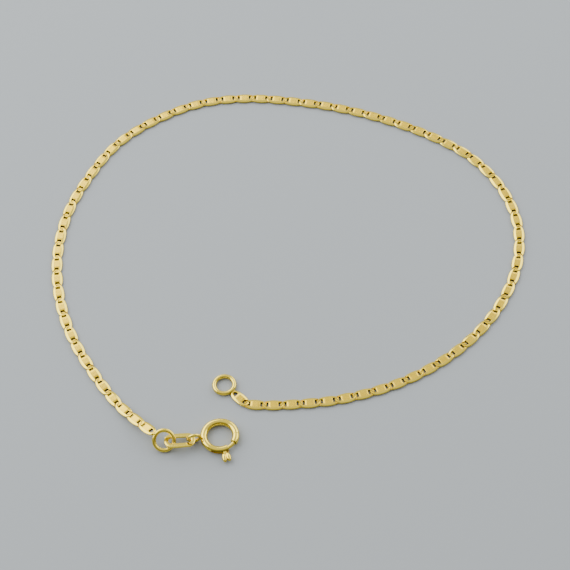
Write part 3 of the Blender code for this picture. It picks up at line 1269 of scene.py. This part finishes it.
    def add_slot_walls(self, shell: Shell) -> None:
        """Adds the thumb slot's two flat walls and its closed end.

        Args:
            shell: The ring so far.
        """
        outer, inner = self.tube / 2, self.bore / 2
        outer_body, outer_across, _ = self.turns(outer)
        inner_body, inner_across, _ = self.turns(inner)
        for end in (0, -1):
            rows = [
                self.section(angle, outer, [outer_body[end]])
                + self.section(angle, inner, [inner_body[end]])
                for angle in self.slotted()
            ]
            shell.grid(rows, Finish.POLISHED, loop_points=False)
        slot_end = self.ends[1]
        rows = [self.section(slot_end, outer, outer_across), self.section(slot_end, inner, inner_across)]
        shell.grid(rows, Finish.POLISHED, loop_points=False)

    def build_ring(self) -> Shell:
        """Builds the hollow ring in its own XY plane."""
        shell = Shell()
        for add in (self.add_skin, self.add_lips, self.add_bore, self.add_slot_walls):
            add(shell)
        return shell

    def build_bolt(self) -> Shell:
        """Builds the curved bolt with its domed nose."""
        radius = self.bolt / 2
        turns = full_turn(self.bolt_sides)
        dome = radius * self.nose_share / self.radius
        rows = []
        for turn in reversed(spread(0.0, math.pi / 2, self.nose_steps)):
            angle = self.nose - dome * (1 - math.sin(turn))
            rows.append(self.section(angle, radius * math.cos(turn) + self.nose_tip, turns))
        for angle in spread(self.nose - dome, self.tail, self.shaft_steps)[1:]:
            rows.append(self.section(angle, radius, turns))
        shell = Shell()
        shell.grid(rows, Finish.POLISHED)
        shell.cap(rows[0], Finish.POLISHED)
        shell.cap(rows[-1], Finish.POLISHED, flip=True)
        return shell

    def build_thumb(self) -> Shell:
        """Builds the thumb piece: a stem through the slot and two plump lobes."""
        outward = Matrix.Rotation(self.thumb_angle, 4, "Z")
        inner = self.radius + self.tube / 2 + self.thumb_clearance
        reach = inner + self.lobe_width / 2 - self.radius
        stem = Pillow(reach, self.stem_width, self.stem_height, self.stem_fullness)
        lobe = Pillow(self.lobe_length, self.lobe_width, self.lobe_height, self.lobe_fullness)
        shell = Shell()
        shell.join(
            stem.build(), outward @ Matrix.Translation((self.radius + reach / 2, 0.0, 0.0))
        )
        for side in (1, -1):
            place = (
                Matrix.Translation((inner, side * self.lobe_spacing / 2, 0.0))
                @ Matrix.Rotation(side * self.lobe_splay, 4, "Z")
                @ Matrix.Translation((self.lobe_length / 2, 0.0, 0.0))
            )
            shell.join(lobe.build(), outward @ place)
        return shell


@dataclass
class Anklet:
    """The whole anklet: its pieces, their places and the CAD nodes that they stand for."""

    route: ChainRoute = field(default_factory=ChainRoute)
    link: MarquiseLink = field(default_factory=MarquiseLink)
    fittings: Fittings = field(default_factory=Fittings)
    clasp: SpringRing = field(default_factory=SpringRing)
    ring_bead: Pillow = Pillow(
        0.62, 0.70, 0.42, bands=14, steps=24, finish=Finish.SOLDER, swell=0.05
    )
    eye_bead: Pillow = Pillow(0.62, 0.50, 0.86, bands=14, steps=24, finish=Finish.SOLDER, swell=0.05)
    eye_bead_gap: float = 0.02
    eye_bead_height: float = 0.38
    soldered: int = 2
    sway: float = math.radians(1.2)
    sway_pace: float = 0.73
    sway_row: float = 4.1
    finishes: list[bpy.types.Material] = field(default_factory=list)

    def materials(self) -> list[bpy.types.Material]:
        """One material for each finish, in slot order."""
        finishes = (POLISHED_GOLD, PLATE_GOLD, PAINTED_SHADE_RECESS_GOLD, SOLDER_GOLD)
        return [finish.material() for finish in finishes]

    def link_places(self) -> list[Matrix]:
        """Where each link lies, swayed a little about its own length."""
        places = []
        for index, place in enumerate(self.route.frames(self.fittings.solder_height())):
            drift = noise.noise(Vector((index * self.sway_pace, self.sway_row, 0.0)))
            sway = self.sway * drift * 2
            places.append(place @ Matrix.Rotation(sway, 4, "X"))
        return places

    def links(self, places: list[Matrix], first: int, last: int) -> Shell:
        """Builds a run of links, each pressed round its neighbours.

        Args:
            places: Where every link lies.
            first: The run's first link.
            last: The link after the run's last.

        Returns:
            The run's shell.
        """
        shell = Shell()
        for index in range(first, last):
            near = [n for n in (index - 1, index + 1) if 0 <= n < len(places)]
            neighbours = [places[index].inverted() @ places[n] for n in near]
            over_side = 1 if index % 2 == 0 else -1
            shell.join(self.link.build(over_side, neighbours), places[index])
        return shell

    def dress(self, shell: Shell, name: str, node: str, body: str) -> bpy.types.Object:
        """Turns a shell to a piece that stands for a CAD node.

        Args:
            shell: The piece's mesh.
            name: The piece's name.
            node: The CAD node.
            body: The CAD body that it rides on.

        Returns:
            The piece.
        """
        piece = shell.to_object(name, self.finishes)
        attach(piece, body)
        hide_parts(node)
        LOG.info("%s: %d faces", name, len(piece.data.polygons))
        return piece

    def ring_and_links(self, ring: WireRing, place: Matrix, links: Shell, tip: Matrix) -> Shell:
        """Puts together a closed ring, the links soldered to it and their bead of solder.

        Args:
            ring: The ring.
            place: Where the ring lies.
            links: The links.
            tip: Where the nearer link's tip lies.

        Returns:
            The shell.
        """
        shell = Shell()
        shell.join(ring.build(), place)
        shell.join(links, Matrix())
        shell.join(self.ring_bead.build(), tip)
        return shell

    def build_clasp(self, eye_place: Matrix) -> None:
        """Builds the clasp's ring with its eye, and the bolt with its thumb piece.

        Args:
            eye_place: Where the eye stands.
        """
        clasp = self.clasp
        place = self.fittings.clasp_place(eye_place, clasp.radius, clasp.tube)
        weld = place @ Vector((-clasp.diameter / 2 - self.eye_bead_gap, 0.0, self.eye_bead_height))
        ring = Shell()
        ring.join(clasp.build_ring(), place)
        ring.join(self.fittings.eye.build(), eye_place)
        ring.join(self.eye_bead.build(), Matrix.Translation(weld))
        self.dress(ring, "spring_ring_and_eye", "clasp_ring", "anklet")
        trigger = Shell()
        trigger.join(clasp.build_bolt(), place)
        trigger.join(clasp.build_thumb(), place)
        self.dress(trigger, "bolt_and_thumb_piece", "clasp_trigger", "trigger")

    def build(self) -> None:
        """Builds every piece."""
        self.finishes = self.materials()
        places = self.link_places()
        fit = self.fittings
        first_free, last_free = self.soldered, len(places) - self.soldered
        chain = self.links(places, first_free, last_free)
        self.dress(chain, "marquise_chain", "link_chain", "anklet")

        to_tip = Matrix.Translation((self.route.half_link, 0.0, 0.0))
        last_tip = places[-1] @ to_tip
        along = (places[-1].to_3x3() @ Vector((1.0, 0.0, 0.0))).normalized()
        end_place = fit.end_ring_place(last_tip.translation, along)
        last_links = self.links(places, last_free, len(places))
        end = self.ring_and_links(fit.end_ring, end_place, last_links, last_tip)
        self.dress(end, "end_ring_and_links", "end_ring", "anklet")

        first_tip = places[0] @ to_tip.inverted()
        jump_place = fit.jump_ring_place(first_tip.translation)
        first_links = self.links(places, 0, first_free)
        jump = self.ring_and_links(fit.jump_ring, jump_place, first_links, first_tip)
        self.dress(jump, "jump_ring_and_links", "jump_ring", "anklet")

        connector_place = fit.connector_place(jump_place)
        plate = Shell()
        plate.join(fit.connector.build(), connector_place)
        self.dress(plate, "flat_connector", "connector_link", "anklet")
        self.build_clasp(fit.eye_place(connector_place))


@dataclass(frozen=True)
class SoftBox:
    """A large soft light, aimed at the anklet. Lengths in metres."""

    name: str
    place: tuple[float, float, float]
    size: Pair
    power: float


@dataclass(frozen=True)
class Studio:
    """The camera, the pale floor and the lights."""

    camera_place: tuple[float, float, float] = (-1.0, -211.0, 303.8)
    elevation: float = math.radians(55.8)
    roll: float = math.radians(4.26)
    focal_pixels: float = 2060.0
    image_pixels: float = 570.0
    sensor: float = 36.0
    clip: Pair = (0.01, 20.0)
    floor_size: float = 1.6
    floor_colour: str = "#A4AAAD"
    floor_roughness: float = 0.85
    floor_drop: float = 0.02
    sky_low: float = 0.20
    sky_high: float = 0.98
    sky_dark_at: float = -0.05
    sky_full_at: float = 0.72
    sky_tilt: tuple[float, float, float] = (0.0, 0.6, 0.8)
    boxes: tuple[SoftBox, ...] = (
        SoftBox("soft_box_left", (-0.33, 0.22, 0.29), (0.78, 0.46), 3.8),
        SoftBox("soft_box_right", (0.35, 0.26, 0.22), (0.60, 0.40), 1.8),
    )

    def camera(self) -> None:
        """Puts the camera where the photograph was taken from."""
        data = bpy.data.cameras.new("photo_camera")
        data.sensor_width = self.sensor
        data.lens = self.focal_pixels / self.image_pixels * self.sensor
        data.clip_start, data.clip_end = self.clip
        camera = put("photo_camera", data)
        e, c, s = self.elevation, math.cos(self.roll), math.sin(self.roll)
        level = Vector((1.0, 0.0, 0.0))
        rise = Vector((0.0, math.sin(e), math.cos(e)))
        right = c * level - s * rise
        up = s * level + c * rise
        turn = Matrix((right, up, right.cross(up))).transposed().to_4x4()
        camera.matrix_world = Matrix.Translation(Vector(self.camera_place) * MM) @ turn
        bpy.context.scene.camera = camera

    def floor(self) -> None:
        """Lays the plain pale floor."""
        half, height = self.floor_size / 2, -self.floor_drop * MM
        signs = ((-1, -1), (1, -1), (1, 1), (-1, 1))
        corners = [Vector((x * half, y * half, height)) for x, y in signs]
        mesh = bpy.data.meshes.new("floor")
        mesh.from_pydata(corners, [], [(0, 1, 2, 3)])
        material = bpy.data.materials.new("matt pale card")
        material.use_nodes = True
        shader = material.node_tree.nodes["Principled BSDF"]
        shader.inputs["Base Color"].default_value = srgb(self.floor_colour)
        shader.inputs["Roughness"].default_value = self.floor_roughness
        mesh.materials.append(material)
        floor = put("floor", mesh)

    def lights(self) -> None:
        """Hangs the soft boxes in a room that is bright behind and above, and dark by the camera."""
        for box in self.boxes:
            data = bpy.data.lights.new(box.name, "AREA")
            data.shape = "RECTANGLE"
            data.size, data.size_y = box.size
            data.energy = box.power
            lamp = put(box.name, data)
            place = Vector(box.place)
            turn = (-place).to_track_quat("-Z", "Y").to_matrix().to_4x4()
            lamp.matrix_world = Matrix.Translation(place) @ turn
        world = bpy.data.worlds.new("studio_room")
        world.use_nodes = True
        tree = world.node_tree
        room = tree.nodes["Background"]
        room.inputs["Color"].default_value = (1.0, 1.0, 1.0, 1.0)
        way = add_node(tree, "ShaderNodeTexCoord").outputs["Generated"]
        towards = add_node(
            tree, "ShaderNodeVectorMath", {"operation": "DOT_PRODUCT"}, {0: way, 1: self.sky_tilt}
        )
        fall = add_node(
            tree,
            "ShaderNodeMapRange",
            {"interpolation_type": "SMOOTHSTEP"},
            {
                "Value": towards.outputs["Value"],
                "From Min": self.sky_dark_at,
                "From Max": self.sky_full_at,
                "To Min": self.sky_low,
                "To Max": self.sky_high,
            },
        )
        tree.links.new(fall.outputs["Result"], room.inputs["Strength"])
        bpy.context.scene.world = world

    def build(self) -> None:
        """Sets up the whole studio."""
        self.camera()
        self.floor()
        self.lights()


def main() -> None:
    """Builds the anklet and its studio."""
    logging.basicConfig(level=logging.INFO, format="%(message)s")
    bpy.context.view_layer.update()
    Anklet().build()
    Studio().build()


if __name__ == "__main__":
    main()
